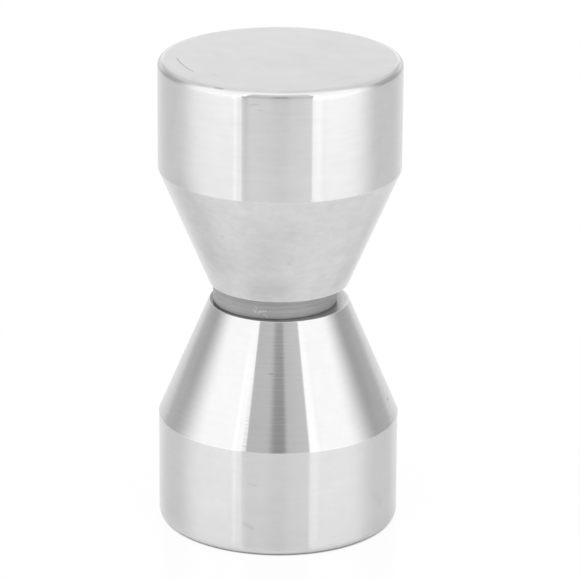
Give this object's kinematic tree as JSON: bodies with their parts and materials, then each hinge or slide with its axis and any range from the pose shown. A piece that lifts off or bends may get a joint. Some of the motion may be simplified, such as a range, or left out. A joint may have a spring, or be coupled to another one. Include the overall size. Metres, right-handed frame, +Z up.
{
  "type": "back-to-back glass door knob",
  "caption": "Hourglass-shaped knob for a glass door: alike turned steel knobs on one threaded stud, with soft washers between them that grip the glass.",
  "frame": {"origin": "centre of the lower knob's flat end face, which the part stands on", "axes": "+Z up the common axis of the knobs, the stud and the thread"},
  "size_m": [0.03, 0.03, 0.0594],
  "materials": {
    "knob_steel": "satin, with fine turning marks round the axis",
    "stud_steel": "rolled thread, lightly oiled",
    "washer_plastic": "soft grey plastic, matt"
  },
  "bodies": {
    "lower_knob": {"lower_knob": "knob_steel", "stud": "stud_steel", "lower_washer": "washer_plastic"},
    "upper_washer": {"upper_washer": "washer_plastic"},
    "upper_knob": {"upper_knob": "knob_steel"}
  },
  "joints": [
    {"name": "upper_washer_lift", "type": "slide", "parent": "lower_knob", "child": "upper_washer", "axis": [0, 0, 1], "range_m": [0, 0.015]},
    {"name": "upper_knob_turn", "type": "hinge", "parent": "upper_washer", "child": "upper_knob", "pos_m": [0, 0, 0.0297], "axis": [0, 0, 1], "range_deg": [0, 4320]}
  ],
  "couplings": [
    {"joint": "upper_knob_turn", "follows": "upper_washer_lift", "rad_per_m": 5026.5}
  ]
}
